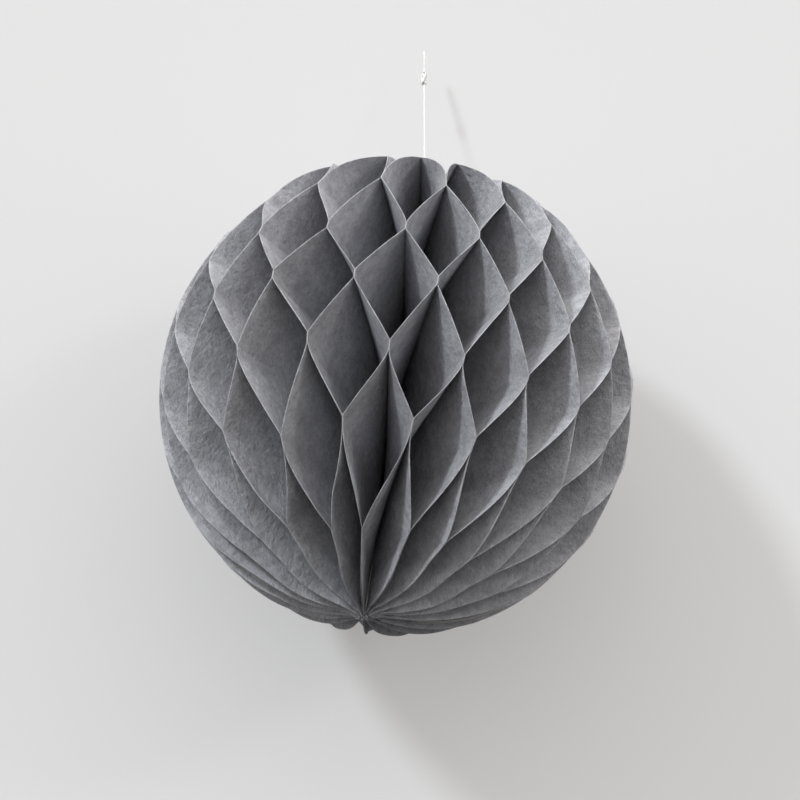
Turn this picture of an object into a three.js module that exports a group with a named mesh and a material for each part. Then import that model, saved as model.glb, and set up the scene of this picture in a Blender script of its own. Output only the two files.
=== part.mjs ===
// Paper honeycomb ball: forty half-disc tissue leaves glued to each other in alternate rows, bound
// along a straight spine and fanned out through a full turn, so that the leaves pull each other into
// open cells. Stiff end cards face the first and the last leaf and meet where the fan closes.
// Millimetres. The spine is the Z axis and the origin is the middle of the ball.

import * as THREE from "three";

// Driving dimensions
const BALL_RADIUS = 100;
const LEAVES = 40;
const GLUE_ROWS = 7;
const GLUE_ROW_PITCH = 0.283 * BALL_RADIUS;
const GLUE_STRIP = 4;
const TISSUE = 0.2; // thickness of a leaf
const CARD = 0.5; // thickness of an end card
const PAD = 0.6; // thickness of a closing pad
const GAP = 0.3; // clearance between faces that touch

const SEAM_AZIMUTH = THREE.MathUtils.degToRad(113.3); // where the fan meets itself
const LEAF_INNER_RADIUS = 4.2;
const LEAF_POLE_HEIGHTS = [0.93, 0.975, 0.997].map((share) => share * BALL_RADIUS);
const CARD_INNER_RADIUS = 15;
const CARD_OUTER_RADIUS = 0.99 * BALL_RADIUS;

const PAD_SIZE = 9;
const PAD_CENTRES = [
  [0.86, 0],
  [0.6, 0.6],
  [0.6, -0.6],
].map((place) => place.map((share) => share * BALL_RADIUS)); // radial distance and height

const BINDING_RADIUS = 0.6;
const SPINE_BEAD_INNER = 1.0;
const SPINE_BEAD_OUTER = 3.7;
const SPINE_BEAD_HALF_LENGTH = 0.97 * BALL_RADIUS;
const SPINE_HALF_LENGTH = 1.002 * BALL_RADIUS;

const THREAD_RADIUS = 0.5;
const THREAD_LEAN = THREE.MathUtils.degToRad(7.2); // from the spine, towards -X
const TOP_KNOT = { radius: 2.1, halfHeight: 2.0 };
const BOTTOM_KNOT = { radius: 1.6, halfHeight: 1.1 };
const LOOP_KNOT = { radius: 1.7, halfHeight: 3.1 };
const LOOP_KNOT_DISTANCE = 68.7; // from the pole to the middle of the knot, along the thread
const LOOP_HEIGHT = 12.2;
const LOOP_HALF_WIDTH = 1.5;

// Worked out from the driving dimensions
const LEAF_ANGLE = (2 * Math.PI) / LEAVES;
const HALF_ANGLE = LEAF_ANGLE / 2;
const SEAM_HALF_GAP = PAD / 2 + GAP;
const SEAM_ROOM = SEAM_HALF_GAP + CARD; // what a card takes on its side of the seam
const ROOM_PER_LEAF = (2 * SEAM_ROOM) / LEAVES;
const LEAF_ROOM = (TISSUE + GAP + ROOM_PER_LEAF) / 2;

const material = (color, roughness) =>
  new THREE.MeshStandardMaterial({ color, roughness, metalness: 0 });
const TISSUE_GREY = 0x8b8d93;
const CARD_GREY = 0x77797f;
const THREAD_WHITE = 0xe9e9e6;
const GLUE_WHITE = 0xd8d6cf;

const ball = new THREE.Group();

function addPiece(name, geometry, surface, parent = ball) {
  const mesh = new THREE.Mesh(geometry, surface);
  mesh.name = name;
  parent.add(mesh);
  return mesh;
}

// A group whose +X runs out along the radius at an azimuth, counted from -Y towards +X.
function radialGroup(azimuth) {
  const group = new THREE.Group();
  group.rotation.z = azimuth - Math.PI / 2;
  ball.add(group);
  return group;
}

// The heights of a leaf's rows, each with its lean: +1 where it is glued to the next leaf,
// -1 where it is glued to the one before, 0 at the poles, where the stack stays closed.
function leafRows(number) {
  const lastRow = (GLUE_ROWS - 1) / 2;
  const rows = [];
  for (let row = -lastRow; row <= lastRow; row++) {
    const lean = (number + row) % 2 === 0 ? 1 : -1;
    const z = row * GLUE_ROW_PITCH;
    rows.push({ z: z - GLUE_STRIP / 2, lean }, { z: z + GLUE_STRIP / 2, lean });
  }
  const first = rows[0];
  const last = rows[rows.length - 1];
  const run = LEAF_POLE_HEIGHTS.at(-1) - last.z;
  for (const height of LEAF_POLE_HEIGHTS) {
    const share = (LEAF_POLE_HEIGHTS.at(-1) - height) / run;
    rows.unshift({ z: -height, lean: first.lean * share });
    rows.push({ z: height, lean: last.lean * share });
  }
  return rows;
}

// How far out along its middle line a leaf of a given slope meets the sphere at a height.
function outerDistance(z, offset, slope) {
  const reach = BALL_RADIUS ** 2 - z ** 2;
  const squares = 1 + slope ** 2;
  const half = (offset * slope) / squares;
  return Math.sqrt(half ** 2 + (reach - offset ** 2) / squares) - half;
}

// A leaf is a thin plate ruled between the spine and the sphere: four corners on each row.
// It keeps the same clearance to its neighbour all along a glue strip.
function leafGeometry(number) {
  const rows = leafRows(number);
  const shift = SEAM_ROOM - (number - 0.5) * ROOM_PER_LEAF;
  const points = [];
  for (const { z, lean } of rows) {
    const slope = lean * Math.tan(HALF_ANGLE);
    const offset = shift - lean * LEAF_ROOM;
    for (const out of [LEAF_INNER_RADIUS, outerDistance(z, offset, slope)]) {
      const across = offset + slope * out;
      points.push(out, across - TISSUE / 2, z, out, across + TISSUE / 2, z);
    }
  }
  const faces = [];
  const quad = (a, b, c, d) => faces.push(a, b, c, a, c, d);
  const top = 4 * (rows.length - 1);
  quad(0, 1, 3, 2);
  quad(top, top + 2, top + 3, top + 1);
  for (let row = 0; row < rows.length - 1; row++) {
    const [inLow, inHigh, outLow, outHigh] = [0, 1, 2, 3].map((k) => 4 * row + k);
    const [upInLow, upInHigh, upOutLow, upOutHigh] = [4, 5, 6, 7].map((k) => 4 * row + k);
    quad(inLow, outLow, upOutLow, upInLow);
    quad(inHigh, upInHigh, upOutHigh, outHigh);
    quad(outLow, outHigh, upOutHigh, upOutLow);
    quad(inHigh, inLow, upInLow, upInHigh);
  }
  const geometry = new THREE.BufferGeometry();
  geometry.setAttribute("position", new THREE.Float32BufferAttribute(points, 3));
  geometry.setIndex(faces);
  geometry.computeVertexNormals();
  return geometry;
}

function addLeaves() {
  for (let number = 1; number <= LEAVES; number++) {
    const group = radialGroup(SEAM_AZIMUTH + (number - 0.5) * LEAF_ANGLE);
    const name = `leaf_${String(number).padStart(2, "0")}`;
    addPiece(name, leafGeometry(number), material(TISSUE_GREY, 0.95), group);
  }
}

// A half-disc drawn with X along the radius and Y along the spine, extruded across the seam.
function cardGeometry() {
  const halfHeight = Math.sqrt(CARD_OUTER_RADIUS ** 2 - CARD_INNER_RADIUS ** 2);
  const endAngle = Math.asin(halfHeight / CARD_OUTER_RADIUS);
  const outline = new THREE.Shape();
  outline.moveTo(CARD_INNER_RADIUS, -halfHeight);
  outline.absarc(0, 0, CARD_OUTER_RADIUS, -endAngle, endAngle, false);
  outline.closePath();
  return new THREE.ExtrudeGeometry(outline, { depth: CARD, bevelEnabled: false, curveSegments: 28 });
}

// In a seam group X is the radius, Y crosses the seam and Z is the spine.
function addCards() {
  const seam = radialGroup(SEAM_AZIMUTH);
  for (const [name, near] of [
    ["fixed_end_card", SEAM_HALF_GAP],
    ["closing_end_card", -SEAM_ROOM],
  ]) {
    const card = addPiece(name, cardGeometry(), material(CARD_GREY, 0.85), seam);
    card.rotation.x = Math.PI / 2;
    card.position.y = near + CARD;
  }
  PAD_CENTRES.forEach(([radius, height], index) => {
    const box = new THREE.BoxGeometry(PAD_SIZE, PAD, PAD_SIZE);
    const pad = addPiece(`closing_pad_${index + 1}`, box, material(GLUE_WHITE, 0.6), seam);
    pad.position.set(radius, 0, height);
  });
}

function addSpine() {
  const binding = new THREE.CylinderGeometry(BINDING_RADIUS, BINDING_RADIUS, 2 * SPINE_HALF_LENGTH, 8);
  binding.rotateX(Math.PI / 2);
  addPiece("binding_thread", binding, material(THREAD_WHITE, 0.9));
  const profile = [
    new THREE.Vector2(SPINE_BEAD_INNER, -SPINE_BEAD_HALF_LENGTH),
    new THREE.Vector2(SPINE_BEAD_OUTER, -SPINE_BEAD_HALF_LENGTH),
    new THREE.Vector2(SPINE_BEAD_OUTER, SPINE_BEAD_HALF_LENGTH),
    new THREE.Vector2(SPINE_BEAD_INNER, SPINE_BEAD_HALF_LENGTH),
    new THREE.Vector2(SPINE_BEAD_INNER, -SPINE_BEAD_HALF_LENGTH),
  ];
  const bead = new THREE.LatheGeometry(profile, 16);
  bead.rotateX(Math.PI / 2);
  addPiece("spine_glue", bead, material(GLUE_WHITE, 0.6));
}

function knotGeometry({ radius, halfHeight }) {
  return new THREE.SphereGeometry(1, 12, 8).rotateX(Math.PI / 2).scale(radius, radius, halfHeight);
}

// A round cord of eight sides along a curve.
function cordGeometry(curve, steps) {
  const section = new THREE.Shape();
  section.absarc(0, 0, THREAD_RADIUS, 0, 2 * Math.PI, false);
  return new THREE.ExtrudeGeometry(section, { steps, extrudePath: curve, curveSegments: 8 });
}

// The knots that stop the binding thread at the poles.
function addPoleKnots() {
  for (const [name, knot, side] of [
    ["top_knot", TOP_KNOT, 1],
    ["bottom_knot", BOTTOM_KNOT, -1],
  ]) {
    const mesh = addPiece(name, knotGeometry(knot), material(THREAD_WHITE, 0.9));
    mesh.position.z = side * (SPINE_HALF_LENGTH + GAP + knot.halfHeight);
  }
}

// The hanging thread, its knot and its loop lie in a group whose +Z runs along the thread.
function addHanger() {
  const hanger = new THREE.Group();
  hanger.position.z = BALL_RADIUS;
  hanger.rotation.y = -THREAD_LEAN;
  ball.add(hanger);

  const threadStart = SPINE_HALF_LENGTH - BALL_RADIUS + 2 * TOP_KNOT.halfHeight + 2.5 * GAP;
  const threadEnd = LOOP_KNOT_DISTANCE - LOOP_KNOT.halfHeight - GAP;
  const line = new THREE.LineCurve3(
    new THREE.Vector3(0, 0, threadStart),
    new THREE.Vector3(0, 0, threadEnd),
  );
  addPiece("hanging_thread", cordGeometry(line, 20), material(THREAD_WHITE, 0.9), hanger);

  const knot = addPiece("loop_knot", knotGeometry(LOOP_KNOT), material(THREAD_WHITE, 0.9), hanger);
  knot.position.z = LOOP_KNOT_DISTANCE;

  const foot = LOOP_KNOT_DISTANCE + LOOP_KNOT.halfHeight + GAP;
  const half = THREAD_RADIUS + GAP / 2; // half the distance between the loop's two feet
  const top = foot + LOOP_HEIGHT - THREAD_RADIUS;
  const side = foot + 0.6 * LOOP_HEIGHT;
  const loop = new THREE.CatmullRomCurve3(
    [
      [-half, foot],
      [-half, foot + 1.5],
      [-LOOP_HALF_WIDTH, side],
      [0, top],
      [LOOP_HALF_WIDTH, side],
      [half, foot + 1.5],
      [half, foot],
    ].map(([y, z]) => new THREE.Vector3(0, y, z)),
  );
  addPiece("hanging_loop", cordGeometry(loop, 22), material(THREAD_WHITE, 0.9), hanger);
}

addLeaves();
addCards();
addSpine();
addPoleKnots();
addHanger();

export default ball;
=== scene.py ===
import math
from typing import NamedTuple

import bpy
import numpy as np
from mathutils import Matrix, Vector


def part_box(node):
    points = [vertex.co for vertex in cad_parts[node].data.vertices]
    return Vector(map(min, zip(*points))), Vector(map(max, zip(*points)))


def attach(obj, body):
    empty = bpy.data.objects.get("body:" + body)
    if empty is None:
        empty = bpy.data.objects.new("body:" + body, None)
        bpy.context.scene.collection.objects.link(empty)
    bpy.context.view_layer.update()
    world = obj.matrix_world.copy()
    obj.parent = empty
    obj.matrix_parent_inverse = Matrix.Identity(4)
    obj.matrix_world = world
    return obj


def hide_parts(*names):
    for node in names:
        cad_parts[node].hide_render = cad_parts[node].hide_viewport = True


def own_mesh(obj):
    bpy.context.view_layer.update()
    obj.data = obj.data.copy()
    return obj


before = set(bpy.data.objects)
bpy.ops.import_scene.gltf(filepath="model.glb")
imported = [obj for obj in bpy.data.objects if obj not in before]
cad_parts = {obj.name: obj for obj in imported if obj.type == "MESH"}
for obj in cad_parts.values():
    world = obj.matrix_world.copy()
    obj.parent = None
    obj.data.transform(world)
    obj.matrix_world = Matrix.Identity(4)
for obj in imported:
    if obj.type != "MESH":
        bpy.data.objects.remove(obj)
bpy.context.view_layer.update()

# Paper honeycomb ball on its hanging thread, in metres. The spine is the Z axis, the origin is
# the middle of the ball, and azimuths are counted from -Y towards +X.

# ---------------------------------------------------------------- driving dimensions
R = 0.100  # radius of the ball
LEAVES = 40
LEAF_ANGLE = 2 * math.pi / LEAVES
SEAM_AZIMUTH = math.radians(113.3)  # where the fan meets itself
GLUE_ROWS = 7
ROW_PITCH = 0.283 * R
GLUE_STRIP = 0.0040  # height of a glued strip
TISSUE = 0.00020  # thickness of a leaf
GLUE_FILM = 0.00005  # what lies between two glued leaves
CARD = 0.0005  # thickness of an end card
PAD = 0.0006  # thickness of an adhesive pad
GAP = 0.0003
SEAM_HALF_GAP = PAD / 2 + GAP  # from the seam to the near face of an end card
SEAM_ROOM = SEAM_HALF_GAP + CARD
LEAF_INNER_RADIUS = 0.0019
FULL_THICKNESS_RADIUS = 0.0042  # nearer to the spine the leaves are pressed thinner
SPINE_HALF_LENGTH = 1.002 * R
LAST_ROW = (GLUE_ROWS - 1) // 2

# The hanging thread leans from the spine towards -X. Distances run along it from the pole.
THREAD_LEAN = math.radians(7.2)
THREAD_DIAMETER = 0.0010
THREAD_START = 0.00495
THREAD_END = 0.0653
LOOP_FOOT = 0.0721
LOOP_HEIGHT = 0.0122


def polar(radius, azimuth, z=0.0):
    return Vector((radius * math.sin(azimuth), -radius * math.cos(azimuth), z))


# ---------------------------------------------------------------- camera, wall and lights
CAMERA_RISE = math.radians(28.9)  # how far the view looks up along the spine
CAMERA_ROLL = math.radians(8.25)
CAMERA_DISTANCE = 0.95
CAMERA_RIGHT, CAMERA_DOWN = 0.0015, 0.0006
SENSOR_WIDTH = 36  # mm
FOCAL_LENGTH = 100.97  # mm
WALL_DISTANCE = 0.1035  # from the ball's middle to the wall it hangs against

forward = Vector((0, math.cos(CAMERA_RISE), math.sin(CAMERA_RISE)))
right = Vector((
    math.cos(CAMERA_ROLL),
    -math.sin(CAMERA_ROLL) * math.sin(CAMERA_RISE),
    math.sin(CAMERA_ROLL) * math.cos(CAMERA_RISE),
))
up = right.cross(forward)


def view_matrix(place):
    """Turned as the camera is, its Z axis back towards the viewer."""
    turn = Matrix((right, up, -forward)).transposed()
    return Matrix.Translation(place) @ turn.to_4x4()


def make_camera():
    camera = bpy.data.objects.new("camera", bpy.data.cameras.new("camera"))
    bpy.context.scene.collection.objects.link(camera)
    camera.data.sensor_width = SENSOR_WIDTH
    camera.data.lens = FOCAL_LENGTH
    place = -CAMERA_DISTANCE * forward + CAMERA_RIGHT * right - CAMERA_DOWN * up
    camera.matrix_world = view_matrix(place)
    bpy.context.scene.camera = camera


make_camera()


# ---------------------------------------------------------------- node helpers
def new_material(name, roughness):
    material = bpy.data.materials.new(name)
    material.use_nodes = True
    shader = material.node_tree.nodes["Principled BSDF"]
    shader.inputs["Roughness"].default_value = roughness
    shader.inputs["Specular IOR Level"].default_value = 0.25
    return material, material.node_tree, shader


def add_node(tree, kind, **values):
    node = tree.nodes.new(kind)
    for name, value in values.items():
        if name in node.inputs:
            node.inputs[name].default_value = value
        else:
            setattr(node, name, value)
    return node


def noise(tree, vector, scale, detail=4.0, roughness=0.55, stretch=(1, 1, 1)):
    mapping = add_node(tree, "ShaderNodeMapping", Scale=stretch)
    tree.links.new(vector, mapping.inputs["Vector"])
    node = add_node(tree, "ShaderNodeTexNoise", Scale=scale, Detail=detail, Roughness=roughness)
    tree.links.new(mapping.outputs["Vector"], node.inputs["Vector"])
    return node.outputs["Fac"]


def ramp(tree, factor, stops):
    node = add_node(tree, "ShaderNodeValToRGB")
    while len(node.color_ramp.elements) < len(stops):
        node.color_ramp.elements.new(0.5)
    for element, (place, colour) in zip(node.color_ramp.elements, stops):
        element.position = place
        element.color = (*colour, 1)
    tree.links.new(factor, node.inputs["Fac"])
    return node.outputs["Color"]


def mix(tree, factor, a, b, blend="MIX"):
    node = add_node(tree, "ShaderNodeMix", data_type="RGBA", blend_type=blend)
    for name, value in (("Factor", factor), ("A", a), ("B", b)):
        kind = "NodeSocketFloatFactor" if name == "Factor" else "NodeSocketColor"
        socket = next(s for s in node.inputs if s.name == name and s.bl_idname == kind)
        if isinstance(value, bpy.types.NodeSocket):
            tree.links.new(value, socket)
        else:
            socket.default_value = value if name == "Factor" else (*value, 1)
    return next(s for s in node.outputs if s.bl_idname == "NodeSocketColor")


def scaled(tree, value, factor, offset=0.0):
    node = add_node(tree, "ShaderNodeMath", operation="MULTIPLY_ADD")
    tree.links.new(value, node.inputs[0])
    node.inputs[1].default_value = factor
    node.inputs[2].default_value = offset
    return node.outputs["Value"]


def summed(tree, a, b):
    node = add_node(tree, "ShaderNodeMath", operation="ADD")
    tree.links.new(a, node.inputs[0])
    tree.links.new(b, node.inputs[1])
    return node.outputs["Value"]


def bump(tree, shader, height, strength, distance):
    node = add_node(tree, "ShaderNodeBump", Strength=strength, Distance=distance)
    tree.links.new(height, node.inputs["Height"])
    tree.links.new(node.outputs["Normal"], shader.inputs["Normal"])


def object_coordinates(tree):
    return add_node(tree, "ShaderNodeTexCoord").outputs["Object"]


# ---------------------------------------------------------------- materials
def tissue_material():
    """Dyed tissue: blotchy dye whose broad blotches are partly painted shade of creases, short
    fibres, cut rims made pale partly by their fuzz and partly by a painted highlight of the lit edge,
    and slightly darker glued strips.
    The map "sheet" lies flat on a leaf."""
    material, tree, shader = new_material("grey_tissue", 0.95)
    shader.inputs["Specular IOR Level"].default_value = 0.12
    flat = add_node(tree, "ShaderNodeUVMap", uv_map="sheet").outputs["UV"]
    # Broad blotches: partly uneven dye, partly painted shade of the paper's creases
    dye_and_crease_shade_blotches = noise(tree, flat, 0.5, 3, 0.6)
    clouds = noise(tree, flat, 2.2, 5, 0.7)
    fibres = noise(tree, flat, 20, 3, 0.75, (1, 0.35, 1))
    specks = noise(tree, flat, 30, 2, 0.5)
    base = ramp(tree, dye_and_crease_shade_blotches, [(0.38, (0.305, 0.298, 0.328)), (0.62, (0.525, 0.541, 0.577))])
    cloudy = ramp(tree, clouds, [(0.40, (0.275, 0.270, 0.300)), (0.60, (0.605, 0.621, 0.656))])
    base = mix(tree, 0.5, base, cloudy)
    fibrous = ramp(tree, fibres, [(0.36, (0.225, 0.226, 0.243)), (0.64, (0.69, 0.70, 0.726))])
    base = mix(tree, 0.38, base, fibrous)
    pale_specks = ramp(tree, specks, [(0.64, (0, 0, 0)), (0.76, (1, 1, 1))])
    base = mix(tree, scaled(tree, pale_specks, 0.35), base, (0.62, 0.62, 0.63))
    # Cut rims made paler: partly fuzz of the cut fibres, partly a painted highlight of the edge
    # facing the light
    rim = add_node(tree, "ShaderNodeAttribute", attribute_name="rim").outputs["Fac"]
    fuzz_and_painted_highlight = add_node(tree, "ShaderNodeMath", operation="MULTIPLY", use_clamp=True)
    tree.links.new(rim, fuzz_and_painted_highlight.inputs[0])
    tree.links.new(scaled(tree, clouds, 1.6, -0.62), fuzz_and_painted_highlight.inputs[1])
    base = mix(tree, fuzz_and_painted_highlight.outputs["Value"], base, (0.70, 0.70, 0.71))
    strip = add_node(tree, "ShaderNodeAttribute", attribute_name="strip").outputs["Fac"]
    base = mix(tree, scaled(tree, strip, 0.18), base, (0.24, 0.237, 0.247))
    tree.links.new(base, shader.inputs["Base Color"])
    crumple = noise(tree, flat, 4.0, 5, 0.6)
    height = summed(tree, scaled(tree, fibres, 0.3), crumple)
    bump(tree, shader, height, 0.6, 0.0018)
    return material


def card_material():
    """Grey card, its pale core showing at the cut edge."""
    material, tree, shader = new_material("grey_card", 0.85)
    place = object_coordinates(tree)
    fibres = noise(tree, place, 900, 4, 0.6)
    clouds = noise(tree, place, 90, 3, 0.5)
    base = ramp(tree, clouds, [(0.3, (0.19, 0.195, 0.21)), (0.7, (0.27, 0.275, 0.29))])
    fibrous = ramp(tree, fibres, [(0.3, (0.15, 0.155, 0.17)), (0.7, (0.36, 0.365, 0.38))])
    base = mix(tree, 0.4, base, fibrous)
    rim = add_node(tree, "ShaderNodeAttribute", attribute_name="rim").outputs["Fac"]
    base = mix(tree, rim, base, (0.66, 0.655, 0.64))
    tree.links.new(base, shader.inputs["Base Color"])
    bump(tree, shader, fibres, 0.3, 0.0003)
    return material


def thread_material(name, pale, dark):
    """Twisted thread, fuzzy, with a slight sheen."""
    material, tree, shader = new_material(name, 0.8)
    shader.inputs["Sheen Weight"].default_value = 0.3
    place = object_coordinates(tree)
    fibres = noise(tree, place, 2600, 3, 0.6, (1, 1, 0.25))
    soil = noise(tree, place, 160, 3, 0.5)
    base = ramp(tree, fibres, [(0.25, dark), (0.75, pale)])
    base = mix(tree, scaled(tree, soil, 0.25), base, dark)
    tree.links.new(base, shader.inputs["Base Color"])
    bump(tree, shader, fibres, 0.5, 0.0001)
    return material


def glue_material():
    """Dried white glue: waxy, slightly yellow, with dull patches."""
    material, tree, shader = new_material("dried_glue", 0.45)
    place = object_coordinates(tree)
    clouds = noise(tree, place, 260, 4, 0.6)
    grain = noise(tree, place, 1500, 2, 0.5)
    base = ramp(tree, clouds, [(0.3, (0.52, 0.50, 0.45)), (0.7, (0.70, 0.69, 0.64))])
    tree.links.new(base, shader.inputs["Base Color"])
    tree.links.new(scaled(tree, clouds, 0.5, 0.2), shader.inputs["Roughness"])
    bump(tree, shader, summed(tree, clouds, scaled(tree, grain, 0.4)), 0.4, 0.0004)
    return material


def stage_material(name, paint, glow):
    """Pale paint, clear when looked at from behind."""
    material, tree, shader = new_material(name, 0.9)
    shader.inputs["Base Color"].default_value = (*paint, 1)
    shader.inputs["Emission Color"].default_value = (1.0, 0.985, 0.97, 1)
    shader.inputs["Emission Strength"].default_value = glow
    shader.inputs["Specular IOR Level"].default_value = 0.1
    clear = add_node(tree, "ShaderNodeBsdfTransparent")
    side = add_node(tree, "ShaderNodeNewGeometry")
    either = add_node(tree, "ShaderNodeMixShader")
    tree.links.new(side.outputs["Backfacing"], either.inputs["Fac"])
    tree.links.new(shader.outputs["BSDF"], either.inputs[1])
    tree.links.new(clear.outputs["BSDF"], either.inputs[2])
    tree.links.new(either.outputs["Shader"], tree.nodes["Material Output"].inputs["Surface"])
    return material


# ---------------------------------------------------------------- stage
WALL_SIZE = 3.0
FLOOR_SIZE = 60.0
FLOOR_HEIGHT = -0.75
# Strength of the room's light: level plus slope times how far overhead it comes from, but not
# under the least, and then some more from past the wall.
ROOM_LEVEL, ROOM_SLOPE, ROOM_LEAST = 0.57, 1.20, 0.06
PAST_WALL, PAST_WALL_SLOPE = 0.28, 0.6


def plane_object(name, size, matrix, material):
    half = size / 2
    mesh = bpy.data.meshes.new(name)
    corners = [(-half, -half, 0), (half, -half, 0), (half, half, 0), (-half, half, 0)]
    mesh.from_pydata(corners, [], [(0, 1, 2, 3)])
    mesh.materials.append(material)
    plane = bpy.data.objects.new(name, mesh)
    bpy.context.scene.collection.objects.link(plane)
    plane.matrix_world = matrix
    return plane


def add_sun(name, travel, strength, spread, colour):
    """travel is the way the light goes, in the view's right, up and forward; spread is in degrees."""
    lamp = bpy.data.lights.new(name, "SUN")
    lamp.energy = strength
    lamp.angle = math.radians(spread)
    lamp.color = colour
    way = travel[0] * right + travel[1] * up + travel[2] * forward
    sun = bpy.data.objects.new(name, lamp)
    bpy.context.scene.collection.objects.link(sun)
    sun.matrix_world = way.to_track_quat("-Z", "Y").to_matrix().to_4x4()


def make_ambient():
    """A soft bright room, lighter overhead than below. The camera sees it as plain pale grey."""
    world = bpy.data.worlds.new("ambient")
    world.use_nodes = True
    tree = world.node_tree
    way = add_node(tree, "ShaderNodeTexCoord").outputs["Generated"]

    def along(direction):
        node = add_node(tree, "ShaderNodeVectorMath", operation="DOT_PRODUCT")
        tree.links.new(way, node.inputs[0])
        node.inputs[1].default_value = direction
        return node.outputs["Value"]

    overhead = add_node(tree, "ShaderNodeMath", operation="MAXIMUM")
    tree.links.new(scaled(tree, along(up), ROOM_SLOPE, ROOM_LEVEL), overhead.inputs[0])
    overhead.inputs[1].default_value = ROOM_LEAST
    behind = add_node(tree, "ShaderNodeMath", operation="MULTIPLY", use_clamp=True)
    tree.links.new(along(forward), behind.inputs[0])
    behind.inputs[1].default_value = PAST_WALL_SLOPE
    past_wall = scaled(tree, behind.outputs["Value"], PAST_WALL)
    strength = summed(tree, overhead.outputs["Value"], past_wall)
    room = tree.nodes["Background"]
    room.inputs["Color"].default_value = (1.0, 0.97, 0.95, 1)
    tree.links.new(strength, room.inputs["Strength"])
    plain = add_node(tree, "ShaderNodeBackground", Strength=1.0)
    plain.inputs["Color"].default_value = (0.77, 0.78, 0.79, 1)
    seen = add_node(tree, "ShaderNodeLightPath").outputs["Is Camera Ray"]
    either = add_node(tree, "ShaderNodeMixShader")
    tree.links.new(seen, either.inputs["Fac"])
    tree.links.new(room.outputs["Background"], either.inputs[1])
    tree.links.new(plain.outputs["Background"], either.inputs[2])
    tree.links.new(either.outputs["Shader"], tree.nodes["World Output"].inputs["Surface"])
    bpy.context.scene.world = world


def make_stage():
    wall_paint = stage_material("pale_wall", (0.60, 0.602, 0.605), 0.213)
    wall = plane_object("wall", WALL_SIZE, view_matrix(WALL_DISTANCE * forward), wall_paint)
    wall.visible_shadow = False
    wall.visible_diffuse = False
    wall.visible_glossy = False
    floor_paint = stage_material("pale_floor", (0.44, 0.447, 0.455), 0.0)
    below = Matrix.Translation((0, 0, FLOOR_HEIGHT))
    floor = plane_object("floor", FLOOR_SIZE, below, floor_paint)
    floor.visible_diffuse = False
    add_sun("key", (82, -99, 103), 1.34, 7, (0.90, 0.955, 1.0))
    add_sun("fill", (-114, -71, 103), 0.28, 9, (1.0, 0.98, 0.96))
    add_sun("broad", (-20, -120, 80), 0.22, 50, (0.97, 0.985, 1.0))
    make_ambient()
    bpy.context.scene.view_settings.view_transform = "Standard"


make_stage()


# ---------------------------------------------------------------- mesh helpers
def mesh_object(name, points, faces, material, smooth=True):
    mesh = bpy.data.meshes.new(name)
    mesh.from_pydata([tuple(p) for p in points], [], faces)
    mesh.materials.append(material)
    if smooth:
        mesh.shade_smooth()
    mesh.update()
    piece = bpy.data.objects.new(name, mesh)
    bpy.context.scene.collection.objects.link(piece)
    return piece


def set_attribute(piece, name, values):
    attribute = piece.data.attributes.new(name, "FLOAT", "POINT")
    attribute.data.foreach_set("value", np.asarray(values, np.float32))


def finish_piece(piece, body, slot, *nodes):
    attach(piece, body)
    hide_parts(*nodes)
    return piece


def smoothstep(t):
    t = np.clip(t, 0, 1)
    return t * t * (3 - 2 * t)


def ring_side(ring, step, around):
    """Numbers of two neighbouring points of a ring, where the rings' points are listed in turn."""
    return ring * around + step, ring * around + (step + 1) % around


# ---------------------------------------------------------------- the fan of leaves
# The fan isn't spread evenly: it is tighter to one side of the front.
WARP = math.radians(-3.5)
WARP_START = math.radians(5)
WARP_EDGE, WARP_FADE = math.radians(70), math.radians(35)
# Each glued strip is a little out of place, aside and up or down.
rng = np.random.default_rng(7)
NODE_SWAY = rng.normal(0, math.radians(0.22), (LEAVES + 1, GLUE_ROWS))
NODE_RISE = rng.normal(0, 0.0005, (LEAVES + 1, GLUE_ROWS))
LOWEST_ROW_RISE = -0.0022  # the strips of the lowest row all sit low
# Strips that were glued or stretched further out of place: azimuth in degrees, row from the
# middle one, rise in metres, and sway in degrees.
STRAYS = [
    (-3.8, 1, -0.0045, 0.5),
    (-22.4, 1, -0.0050, 0.5),
    (14.2, 1, -0.0018, 0.0),
    (-3.8, -1, -0.0016, 0.7),
    (14.2, -1, -0.0017, 0.3),
    (-13.0, 0, -0.0017, 0.0),
    (-31.9, 0, 0.0012, -1.2),
    (-31.9, -2, -0.0058, 0.4),
    (-3.8, -3, -0.0010, -2.4),
    (-22.4, -3, -0.0018, 2.0),
    (41.0, -1, -0.0030, 0.0),
    (-22.4, 3, 0.0, 5.0),
    (14.2, 3, -0.0010, -3.0),
]


def warp(azimuth):
    """How far a leaf strays from even spacing, fading out round the sides of the ball."""
    lean = math.remainder(azimuth, 2 * math.pi)
    window = float(1 - smoothstep((abs(lean) - WARP_EDGE) / WARP_FADE))
    return WARP * math.sin(lean - WARP_START) ** 2 * window


def at_seam(joint):
    return joint in (0, LEAVES)


def place_strays():
    for azimuth, row, rise, sway in STRAYS:
        aim = math.radians(azimuth)

        def miss(joint):
            nominal = SEAM_AZIMUTH + joint * LEAF_ANGLE
            return abs(math.remainder(nominal + warp(nominal) - aim, 2 * math.pi))

        joint = min(range(LEAVES + 1), key=miss)
        NODE_RISE[joint, row + LAST_ROW] = rise
        NODE_SWAY[joint, row + LAST_ROW] = math.radians(sway)


place_strays()


def node_azimuth(joint, row):
    """Azimuth of the strip between leaf number joint and the next, in a row counted from 0."""
    nominal = SEAM_AZIMUTH + joint * LEAF_ANGLE
    if at_seam(joint):
        return nominal
    return nominal + warp(nominal) + NODE_SWAY[joint, row]


def node_rise(joint, row):
    rise = LOWEST_ROW_RISE if row == 0 else 0.0
    return rise + (0.0 if at_seam(joint) else NODE_RISE[joint, row])


def seam_shift(position):
    """The leaves make room for the end cards, a little each: position is 0 to LEAVES."""
    return SEAM_ROOM * (1 - 2 * position / LEAVES)


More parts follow.
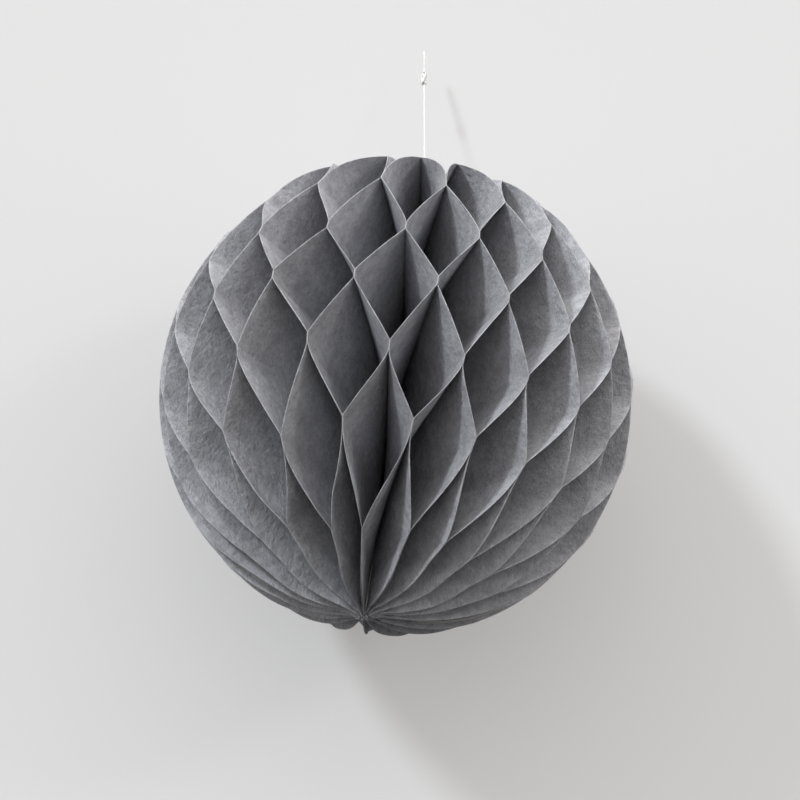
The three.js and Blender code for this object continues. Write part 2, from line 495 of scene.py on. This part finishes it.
# Past the end of a shorter strip the paper hangs free, so away from the middle of the ball a
# leaf keeps the line of the longer strip for a while before it swings across.
LAG_ABOVE, LAG_BELOW = 6.0, 1.7
PAIRED = 0.86  # how far the leaves glued in an end row stay together up to the pole
LOOSE_AT_POLES = 0.04  # how far the paper past an end row is free to crease
FREEDOM_POWER = 1.4  # the creases die out this steeply towards the glued strips

# Near the poles the leaves turn towards the back of the ball, by up to this angle.
BUNCHING = math.radians(11)
BUNCHING_START = 0.872 * R
BUNCHING_SPAN = 0.10 * R
SEAM_REACH = math.radians(45)  # nearer to the seam than this the end cards hold the leaves back

# In ball radii: how far the upper part stands proud, and where it starts and how far it goes on.
SWELLING = 0.024
SWELLING_START, SWELLING_SPAN = 0.55, 0.45

# Creases of the loose paper: size, and the least and greatest wave number, in radians a metre.
CREASES = ((0.00030, 30, 90), (0.00022, 90, 220), (0.00010, 220, 420))
CREASE_SCALE = 0.8
CREASED_FROM, CREASED_SPAN = 0.12 * R, 0.5 * R
STRAIGHT_RIM = 0.005  # the creases are shallow this near to the rim
CRUMPLED = 4.0  # how much deeper they are where the paper is crumpled
CRUMPLED_AT, CRUMPLED_WIDTH = math.radians(-38), math.radians(22)
CRUMPLED_BELOW, CRUMPLED_SPAN = -0.45 * R, 0.25 * R

RIM_WIDTH = 0.0007  # of the pale cut edge: partly fuzz, partly painted highlight
SHEET_SCALE = 100  # units of the map "sheet" in a metre


def bunching(azimuth):
    """Past the last glued row the leaves spread apart in front and bunch together behind."""
    slow = math.radians(1.6) * math.sin(7 * azimuth + 0.6)
    quick = math.radians(0.7) * math.sin(11 * azimuth + 2)
    by_seam = (1 - math.cos(azimuth - SEAM_AZIMUTH)) / (1 - math.cos(SEAM_REACH))
    return (BUNCHING * math.sin(azimuth) + (slow + quick)) * float(smoothstep(by_seam))


def swelling(z):
    """The upper part of the ball stands a little proud of a sphere."""
    share = np.clip((z / R - SWELLING_START) / SWELLING_SPAN, 0, 1)
    return 1 + SWELLING * np.sin(np.pi * share) ** 2


class Station(NamedTuple):
    """One end of a glued strip. side is 1 where it holds the next leaf and -1 the one before."""

    z: float
    azimuth: float
    rise: float
    side: int
    joint: int


class Leaf:
    """One half-disc of tissue, swaying from the leaf before it to the leaf after it."""

    # Columns of the grid, in metres in from the rim, and then even ones to the spine
    RIM_STEPS = (0, 0.0003, 0.0009, 0.002, 0.0038, 0.006, 0.0085, 0.0115, 0.015, 0.019, 0.024, 0.030)
    INNER_COLUMNS = 8
    RIM_ROOM = 0.02  # where a row is shorter than this the columns draw together
    EVEN_ROWS = 125
    ROW_CLEARANCE = 0.0006  # least distance from an even row to the end of a strip

    def __init__(self, number):
        self.number = number
        self.middle = SEAM_AZIMUTH + (number - 0.5) * LEAF_ANGLE
        self.home = self.middle + warp(self.middle)
        self.dice = np.random.default_rng(100 + number)
        self.waves = self.make_waves()
        self.stations = self.make_stations()
        self.heights = self.make_heights()

    def make_stations(self):
        """Both ends of each glued strip, from the lowest up."""
        found = []
        for row in range(GLUE_ROWS):
            side = 1 if (self.number + row - LAST_ROW) % 2 == 0 else -1
            joint = self.number if side > 0 else self.number - 1
            z = (row - LAST_ROW) * ROW_PITCH
            azimuth, rise = node_azimuth(joint, row), node_rise(joint, row)
            for end in (z - GLUE_STRIP / 2, z + GLUE_STRIP / 2):
                found.append(Station(end, azimuth, rise, side, joint))
        return found

    def make_heights(self):
        """Rows of the grid: even along the rim, with a row on each end of each strip."""
        reach = math.acos(LEAF_INNER_RADIUS / R)
        even = R * np.sin(np.linspace(-reach, reach, self.EVEN_ROWS))
        strips = np.array([s.z for s in self.stations])
        far = np.min(np.abs(even[:, None] - strips[None]), axis=1) > self.ROW_CLEARANCE
        return np.sort(np.concatenate([even[far], strips]))

    def along(self, z):
        """Azimuth, rise and sideways offset of the leaf at the heights z."""
        pole = R * 0.999
        knots = np.array([-pole, *[s.z for s in self.stations], pole])
        span = np.clip(np.searchsorted(knots, z, side="right") - 1, 0, len(knots) - 2)
        share = (z - knots[span]) / (knots[span + 1] - knots[span])
        share = np.clip(share, 0, 1)
        middles = (knots[:-1] + knots[1:])[span] / (2 * R)
        above = middles > 0
        lag = 1 + np.where(above, LAG_ABOVE * middles**4, LAG_BELOW * middles**2)
        eased = np.where(above, share**lag, 1 - (1 - share) ** lag)
        tracks = (
            ([s.azimuth for s in self.stations], self.home),
            ([s.rise for s in self.stations], 0.0),
            ([self.offset(s.side, s.joint) for s in self.stations], seam_shift(self.number - 0.5)),
        )
        result = []
        for values, middle in tracks:
            low, high = (PAIRED * end + (1 - PAIRED) * middle for end in (values[0], values[-1]))
            values = np.array([low, *values, high])
            result.append(values[span] + (values[span + 1] - values[span]) * eased)
        return result

    @staticmethod
    def offset(side, joint):
        """How far to the side of a strip's own place the leaf lies, half a sheet off its glue."""
        return seam_shift(joint) - side * (TISSUE + GLUE_FILM) / 2

    def freedom(self, z):
        """How free the paper is to crease: 0 on the glued strips, 1 halfway between two of them and
        little past the last ones."""
        knots = np.array([-R, *[s.z for s in self.stations], R])
        below = np.clip(np.searchsorted(knots, z, side="right") - 1, 0, len(knots) - 2)
        if below % 2:
            return 0.0
        share = np.clip((z - knots[below]) / (knots[below + 1] - knots[below]), 0, 1)
        middle = (knots[below] + knots[below + 1]) / 2 / R
        share = share ** (1 + middle**2) if middle > 0 else 1 - (1 - share) ** (1 + middle**2)
        loose = LOOSE_AT_POLES if below in (0, len(knots) - 2) else 1.0
        return loose * math.sin(math.pi * share) ** FREEDOM_POWER

    def make_waves(self):
        """Creases of the loose paper: wave numbers out and up, phase and size."""
        waves = []
        for size, low, high in CREASES:
            for _ in range(4):
                wave = self.dice.uniform(low, high)
                turn = self.dice.uniform(0, math.pi)
                phase = self.dice.uniform(0, 2 * math.pi)
                scale = size * self.dice.uniform(0.4, 1)
                waves.append((wave * math.cos(turn), wave * math.sin(turn), phase, scale))
        return waves

    def crumpling(self, z):
        """How crumpled the paper is: most low down on the left of the front."""
        lean = math.remainder(self.home, 2 * math.pi)
        side = math.exp(-(((lean - CRUMPLED_AT) / CRUMPLED_WIDTH) ** 2))
        return 1 + CRUMPLED * side * smoothstep((CRUMPLED_BELOW - z) / CRUMPLED_SPAN)

    def wrinkles(self, out, z):
        """Sideways stray of the loose paper, in metres."""
        stray = np.zeros_like(out)
        for outward, upward, phase, size in self.waves:
            stray += size * np.arcsin(0.96 * np.sin(outward * out + upward * z + phase))
        slack = smoothstep((out - CREASED_FROM) / CREASED_SPAN)
        by_rim = 1 - 0.75 * np.exp(-(((out[-1] - out) / STRAIGHT_RIM) ** 2))
        return CREASE_SCALE * stray * slack * by_rim * self.freedom(z) * self.crumpling(z)

    def middle_surface(self):
        """Points, and the distance in from the rim and the flat coordinates of each."""
        points, rims, flats = [], [], []
        for z, a, rise, o in zip(self.heights, *self.along(self.heights)):
            reach = R * float(swelling(z))
            outer = math.sqrt(max(reach**2 - z**2 - o**2, LEAF_INNER_RADIUS**2))
            room = outer - LEAF_INNER_RADIUS
            near = [s * min(1, room / self.RIM_ROOM) for s in self.RIM_STEPS]
            inner = np.linspace(0, room - near[-1], self.INNER_COLUMNS + 1)[:-1]
            distance = LEAF_INNER_RADIUS + np.concatenate([inner, room - np.array(near[::-1])])
            # A strip that rises or sinks keeps its end on the sphere
            level = z + rise * distance / outer
            keep = np.sqrt(np.maximum(reach**2 - level**2 - o**2, 0)) / outer
            weight = smoothstep((distance / outer - 0.4) / 0.6)
            distance = np.maximum(distance * (1 + (keep - 1) * weight), LEAF_INNER_RADIUS)
            a += bunching(a) * smoothstep((abs(z) - BUNCHING_START) / BUNCHING_SPAN)
            pressed = np.clip(distance / FULL_THICKNESS_RADIUS, 0, 1)
            side = o * pressed + self.wrinkles(distance, z)
            x = distance * math.sin(a) + side * math.cos(a)
            y = -distance * math.cos(a) + side * math.sin(a)
            points.append(np.stack([x, y, level], axis=1))
            rims.append(distance[-1] - distance)
            flats.append(np.stack([distance, np.full_like(distance, z)], axis=1))
        return np.array(points), np.array(rims), np.array(flats)


def sheet_mesh(name, centre, thickness, material):
    """A closed thin sheet round a grid of points, with its two faces and its cut edge."""
    rows, columns = centre.shape[:2]
    by_row = np.gradient(centre, axis=0)
    by_column = np.gradient(centre, axis=1)
    normal = np.cross(by_row, by_column)
    normal /= np.maximum(np.linalg.norm(normal, axis=2, keepdims=True), 1e-12)
    half = np.asarray(thickness / 2)[..., None]
    high, low = centre + normal * half, centre - normal * half
    points = np.concatenate([high.reshape(-1, 3), low.reshape(-1, 3)])
    count = rows * columns
    index = np.arange(count).reshape(rows, columns)
    a, b = index[:-1, :-1].ravel(), index[:-1, 1:].ravel()
    c, d = index[1:, 1:].ravel(), index[1:, :-1].ravel()
    faces = list(zip(a, d, c, b)) + list(zip(a + count, b + count, c + count, d + count))
    border = [*index[0, :], *index[1:, -1], *index[-1, -2::-1], *index[-2:0:-1, 0]]
    for here, there in zip(border, border[1:] + border[:1]):
        faces.append((here, there, there + count, here + count))
    faces = [tuple(int(i) for i in face) for face in faces]
    return mesh_object(name, points, faces, material)


def add_leaf(number, material):
    leaf = Leaf(number)
    centre, rims, flats = leaf.middle_surface()
    name = f"tissue_leaf_{number:02d}"
    pressed = np.clip(flats[..., 0] / FULL_THICKNESS_RADIUS, 0, 1)
    piece = sheet_mesh(name, centre, TISSUE * pressed, material)
    near_rim = np.exp(-((rims / RIM_WIDTH) ** 1.5))
    set_attribute(piece, "rim", np.tile(near_rim.ravel(), 2))
    strips = np.array([s.z for s in leaf.stations]).reshape(-1, 2)
    glued = [any(low - 1e-6 <= z <= high + 1e-6 for low, high in strips) for z in leaf.heights]
    set_attribute(piece, "strip", np.tile(np.repeat(glued, centre.shape[1]), 2))
    own_part = np.array([number * 17.0, number * 5.0])  # so that no two leaves look alike
    flat = np.tile(flats.reshape(-1, 2), (2, 1)) * SHEET_SCALE + own_part
    layer = piece.data.uv_layers.new(name="sheet")
    corners = np.empty(len(piece.data.loops), np.int32)
    piece.data.loops.foreach_get("vertex_index", corners)
    layer.data.foreach_set("uv", flat[corners].astype(np.float32).ravel())
    finish_piece(piece, f"leaf_{number:02d}", "tissue", f"leaf_{number:02d}")
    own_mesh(piece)


def add_leaves():
    material = tissue_material()
    for number in range(1, LEAVES + 1):
        add_leaf(number, material)


add_leaves()


# ---------------------------------------------------------------- end cards and pads
CARD_RADIUS = 0.990 * R
CARD_START = 0.021  # the cards stop short of the spine, to clear the leaves folded by them
CARD_RIM_WIDTH = 0.0006
PAD_HALF_WIDTH = 0.0045
PAD_SQUARENESS = 5.0  # exponent of the pad's outline: 2 is a circle, and more is squarer
CARD_ROWS, CARD_COLUMNS = 91, 26
CARD_BOW = 0.00004
PADS = ((0.86, 0), (0.6, 0.6), (0.6, -0.6))  # distance from the spine and height, in ball radii
SEAM_NORMAL = Vector((math.cos(SEAM_AZIMUTH), math.sin(SEAM_AZIMUTH), 0))


def seam_point(out, across, z):
    return polar(out, SEAM_AZIMUTH, z) + across * SEAM_NORMAL


def add_card(name, node, body, across, material):
    """A stiff half-disc with a rounded cut edge, very slightly bowed."""
    reach = math.acos(CARD_START / CARD_RADIUS)
    points, rims = [], []
    for angle in np.linspace(-reach, reach, CARD_ROWS):
        z = CARD_RADIUS * math.sin(angle)
        edge = CARD_RADIUS * math.cos(angle)
        row, distances = [], np.linspace(CARD_START, edge, CARD_COLUMNS)
        for distance in distances:
            bow = CARD_BOW * math.sin(70 * z) * math.sin(45 * distance)
            row.append(seam_point(distance, across + bow, z))
        points.append(row)
        rims.append(edge - distances)
    rims = np.array(rims)
    piece = sheet_mesh(name, np.array(points), np.full(rims.shape, CARD), material)
    near_rim = np.exp(-((rims / CARD_RIM_WIDTH) ** 2))
    set_attribute(piece, "rim", np.tile(near_rim.ravel(), 2))
    bevel = piece.modifiers.new("cut_edge", "BEVEL")
    bevel.width = CARD * 0.2
    bevel.segments = 2
    bevel.limit_method = "ANGLE"
    bevel.angle_limit = math.radians(50)
    return finish_piece(piece, body, "card", node)


def add_pad(number, out, height, material):
    """A soft square pad with round corners, bulging a little at its sides."""
    points, faces, around = [], [], 40
    # Height in pad thicknesses, and width as a share of the widest
    levels = [(-0.5, 0.90), (-0.42, 0.97), (-0.2, 1.0), (0.2, 1.0), (0.42, 0.97), (0.5, 0.90)]
    for level, share in levels:
        for step in range(around):
            turn = 2 * math.pi * step / around
            c, s = math.cos(turn), math.sin(turn)
            outline = (abs(c) ** PAD_SQUARENESS + abs(s) ** PAD_SQUARENESS) ** (1 / PAD_SQUARENESS)
            radius = PAD_HALF_WIDTH * share / outline
            points.append(seam_point(out + radius * c, level * PAD, height + radius * s))
    for ring in range(len(levels) - 1):
        for step in range(around):
            a, b = ring_side(ring, step, around)
            faces.append((a, b, b + around, a + around))
    for ring, flip in ((0, True), (len(levels) - 1, False)):
        middle = len(points)
        points.append(seam_point(out, levels[ring][0] * PAD, height))
        for step in range(around):
            a, b = ring_side(ring, step, around)
            faces.append((b, a, middle) if flip else (a, b, middle))
    piece = mesh_object(f"adhesive_pad_{number}", points, faces, material)
    return finish_piece(piece, "spine", "glue", f"closing_pad_{number}")


def add_cards_and_pads():
    material = card_material()
    middle = SEAM_HALF_GAP + CARD / 2
    add_card("end_card_fixed", "fixed_end_card", "spine", middle, material)
    add_card("end_card_closing", "closing_end_card", "closing_card", -middle, material)
    glue = glue_material()
    for number, (out, height) in enumerate(PADS, start=1):
        add_pad(number, out * R, height * R, glue)


add_cards_and_pads()


# ---------------------------------------------------------------- threads and knots
PLY_DEPTH = 0.10  # of the grooves between the plies, as a share of the radius


def rope(name, path, radius, material, closed=False, plies=3, pitch=0.0045, ends=1.0):
    """A twisted cord along a path. Its section has a lobe for each ply and turns once a pitch, and
    it narrows to the share "ends" at its first and last points."""
    path = np.array([tuple(p) for p in path])
    count, around = len(path), 6 * plies
    tangents = np.roll(path, -1, 0) - np.roll(path, 1, 0) if closed else np.gradient(path, axis=0)
    tangents /= np.linalg.norm(tangents, axis=1, keepdims=True)
    side = np.cross(tangents[0], (0.3, 0.9, 0.1))
    side /= np.linalg.norm(side)
    points, faces, travelled = [], [], 0.0
    for i in range(count):
        if i:
            travelled += np.linalg.norm(path[i] - path[i - 1])
        side = side - tangents[i] * (side @ tangents[i])
        side /= np.linalg.norm(side)
        other = np.cross(tangents[i], side)
        taper = 1.0 if closed or 0 < i < count - 1 else ends
        for step in range(around):
            angle = 2 * math.pi * step / around
            lobe = radius * taper * (1 - PLY_DEPTH + PLY_DEPTH * math.cos(plies * angle))
            turned = angle + 2 * math.pi * travelled / pitch
            points.append(path[i] + lobe * (math.cos(turned) * side + math.sin(turned) * other))
    rings = count if closed else count - 1
    for ring in range(rings):
        for step in range(around):
            a, b = ring_side(ring, step, around)
            d, c = ring_side((ring + 1) % count, step, around)
            faces.append((a, b, c, d))
    if not closed:
        for end, order in ((0, -1), (count - 1, 1)):
            middle = len(points)
            points.append(path[end])
            for step in range(around):
                a, b = ring_side(end, step, around)
                faces.append((a, b, middle) if order > 0 else (b, a, middle))
    return mesh_object(name, points, faces, material)


def along_thread(distance, sideways=0.0):
    lean = Vector((-math.sin(THREAD_LEAN), 0, math.cos(THREAD_LEAN)))
    return Vector((0, sideways, R)) + distance * lean


def knot_path(centre, radius, half_height, steps=96):
    """An overhand knot pulled tight, as a closed trefoil round the Z axis."""
    path = []
    for step in range(steps):
        t = 2 * math.pi * step / steps
        x = (math.sin(t) + 2 * math.sin(2 * t)) / 3
        y = (math.cos(t) - 2 * math.cos(2 * t)) / 3
        level = -math.sin(3 * t) * half_height
        path.append(Vector(centre) + Vector((x * radius, y * radius, level)))
    return path


def add_knot(name, node, body, material, strand):
    """A knot of thread with the radius strand, filling the node's box."""
    low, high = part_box(node)
    half = (high - low) / 2
    path = knot_path((low + high) / 2, min(half.x, half.y) - strand, half.z - strand)
    piece = rope(name, path, strand, material, closed=True, pitch=0.006)
    return finish_piece(piece, body, "thread", node)


def thread_points(steps):
    length = THREAD_END - THREAD_START
    return [along_thread(THREAD_START + length * i / steps) for i in range(steps + 1)]


def loop_points():
    """The loop's centre line, both feet side by side in the knot."""
    half_foot, half_width = THREAD_DIAMETER / 2 + GAP / 2, 0.0015
    neck, widest = LOOP_FOOT + 0.0015, LOOP_FOOT + 0.6 * LOOP_HEIGHT
    corners = [
        (-half_foot, LOOP_FOOT),
        (-half_foot, neck),
        (-half_width, widest),
        (0, LOOP_FOOT + LOOP_HEIGHT - THREAD_DIAMETER / 2),
        (half_width, widest),
        (half_foot, neck),
        (half_foot, LOOP_FOOT),
    ]
    return smooth_path([along_thread(distance, sideways) for sideways, distance in corners], 16)


def add_hanger(white):
    thread = rope("twisted_thread", thread_points(240), THREAD_DIAMETER / 2, white)
    finish_piece(thread, "hanger", "thread", "hanging_thread")
    knot = add_knot("thread_loop_knot", "loop_knot", "hanger", white, 0.0005)
    loop = rope("thread_loop", loop_points(), THREAD_DIAMETER / 2, white)
    finish_piece(loop, "hanger", "thread", "hanging_loop")


def smooth_path(corners, steps):
    """A Catmull-Rom curve through the corners."""
    ends = [2 * corners[0] - corners[1], *corners, 2 * corners[-1] - corners[-2]]
    path = []
    for before, here, there, after in zip(ends, ends[1:], ends[2:], ends[3:]):
        for step in range(steps):
            t = step / steps
            path.append(0.5 * (
                2 * here
                + (there - before) * t
                + (2 * before - 5 * here + 4 * there - after) * t**2
                + (3 * here - before - 3 * there + after) * t**3
            ))
    return [*path, corners[-1]]


# ---------------------------------------------------------------- the spine
BINDING_RADIUS = 0.0006
LOWEST_FIBRE = -0.1025
BEAD_HALF_LENGTH = 0.97 * R
BEAD_BORE = 0.0007  # radius of the hole that the binding fills
BEAD_END_RADIUS = 0.0008
BEAD_SWELL = 0.00080  # how much wider it is away from its ends
BEAD_LUMP = 0.00006


def add_fibres(dice, tissue):
    """Frayed ends of the paper, under the lower pole."""
    for number in range(1, 8):
        turn, reach = dice.uniform(0, 2 * math.pi), dice.uniform(0.0016, 0.0034)
        foot = polar(dice.uniform(0.0010, 0.0024), turn, -0.9985 * R)
        way = polar(dice.uniform(0.1, 0.8), turn + dice.uniform(-0.8, 0.8), -1).normalized()
        bend = Vector(dice.uniform(-0.0006, 0.0006, 3))
        line = [foot + way * reach * t + bend * t * t for t in np.linspace(0, 1, 14)]
        line = [Vector((p.x, p.y, max(p.z, LOWEST_FIBRE))) for p in line]
        fibre = rope(f"frayed_fibre_{number}", line, 0.00013, tissue, plies=2, pitch=0.002, ends=0.3)
        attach(fibre, "spine")


def add_glue_bead(dice):
    """A lumpy tube of dried glue round the binding thread."""
    points, faces, around = [], [], 16
    levels = np.linspace(-BEAD_HALF_LENGTH, BEAD_HALF_LENGTH, 220)
    phases = dice.uniform(0, 2 * math.pi, 6)
    for z in levels:
        end = min(1.0, (BEAD_HALF_LENGTH - abs(z)) / 0.001) ** 0.5
        for step in range(around):
            turn = 2 * math.pi * step / around
            lump = 0.0
            for k, phase in enumerate(phases):
                lump += BEAD_LUMP * math.sin((260 + 210 * k) * z + k * turn + phase)
            points.append(polar(BEAD_END_RADIUS + (BEAD_SWELL + 0.5 * lump) * end, turn, z))
    for ring in range(len(levels) - 1):
        for step in range(around):
            a, b = ring_side(ring, step, around)
            faces.append((a, b, b + around, a + around))
    inner = len(points)
    for z in levels:
        points += [polar(BEAD_BORE, 2 * math.pi * step / around, z) for step in range(around)]
    for ring in range(len(levels) - 1):
        for step in range(around):
            a, b = (inner + corner for corner in ring_side(ring, step, around))
            faces.append((b, a, a + around, b + around))
    for ring, flip in ((0, True), (len(levels) - 1, False)):
        for step in range(around):
            a, b = ring_side(ring, step, around)
            face = (a, b, inner + b, inner + a)
            faces.append(face[::-1] if flip else face)
    bead = mesh_object("spine_glue_bead", points, faces, glue_material())
    finish_piece(bead, "spine", "glue", "spine_glue")


def add_spine(tissue):
    """The binding thread, its knots at the poles, the hanger from the upper one, the paper's
    frayed ends at the lower one, and the glue along the spine."""
    grey = thread_material("grey_thread", (0.30, 0.30, 0.31), (0.17, 0.17, 0.18))
    white = thread_material("white_thread", (0.90, 0.90, 0.89), (0.70, 0.70, 0.69))
    straight = [Vector((0, 0, z)) for z in np.linspace(-SPINE_HALF_LENGTH, SPINE_HALF_LENGTH, 500)]
    binding = rope("spine_binding", straight, BINDING_RADIUS, grey)
    finish_piece(binding, "spine", "thread", "binding_thread")
    add_knot("pole_knot_top", "top_knot", "spine", white, 0.00055)
    add_knot("pole_knot_bottom", "bottom_knot", "spine", grey, 0.0004)
    add_hanger(white)
    dice = np.random.default_rng(5)
    add_fibres(dice, tissue)
    add_glue_bead(dice)


add_spine(bpy.data.materials["grey_tissue"])
